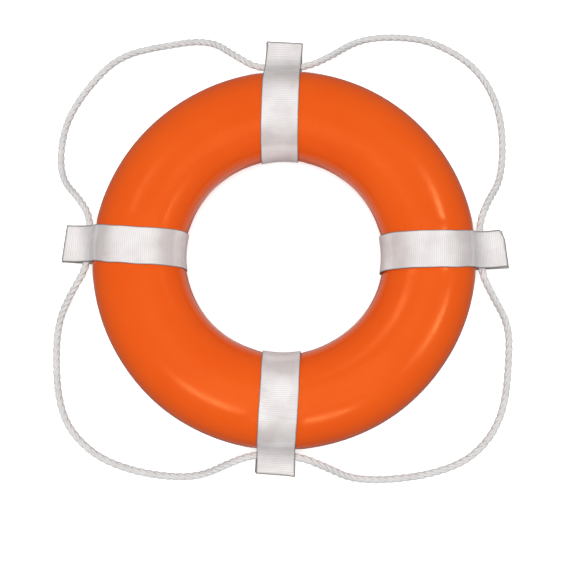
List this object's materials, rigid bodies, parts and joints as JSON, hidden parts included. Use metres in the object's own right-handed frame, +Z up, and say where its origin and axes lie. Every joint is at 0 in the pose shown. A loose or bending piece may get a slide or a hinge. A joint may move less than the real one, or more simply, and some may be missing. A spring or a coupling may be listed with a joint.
{
  "type": "ring lifebuoy",
  "caption": "Round throwable lifebuoy: a glossy orange ring held by webbing beckets that carry a loose white grab line round its rim.",
  "frame": {"origin": "on the ring's axis at the level of the surface it lies on", "axes": "+Z up along the ring's axis, out of its front face; +X through the right becket and +Y through the top becket, as the ring is seen from the front"},
  "size_m": [0.6284, 0.6249, 0.0928],
  "materials": {
    "orange_vinyl": "glossy",
    "white_webbing": "woven",
    "white_thread": "twisted",
    "white_rope": "three-strand",
    "tan_twine": "waxed",
    "foam": "closed cell",
    "cement": "dried film"
  },
  "bodies": {
    "root": {"vinyl_skin": "orange_vinyl", "foam_core_front": "foam", "foam_core_back": "foam", "core_cement_film": "cement", "grab_line": "white_rope", "rope_seizing": "tan_twine", "becket_band_right": "white_webbing", "becket_seam_right": "white_thread", "becket_band_top": "white_webbing", "becket_seam_top": "white_thread", "becket_band_left": "white_webbing", "becket_seam_left": "white_thread", "becket_band_bottom": "white_webbing", "becket_seam_bottom": "white_thread"}
  },
  "joints": []
}
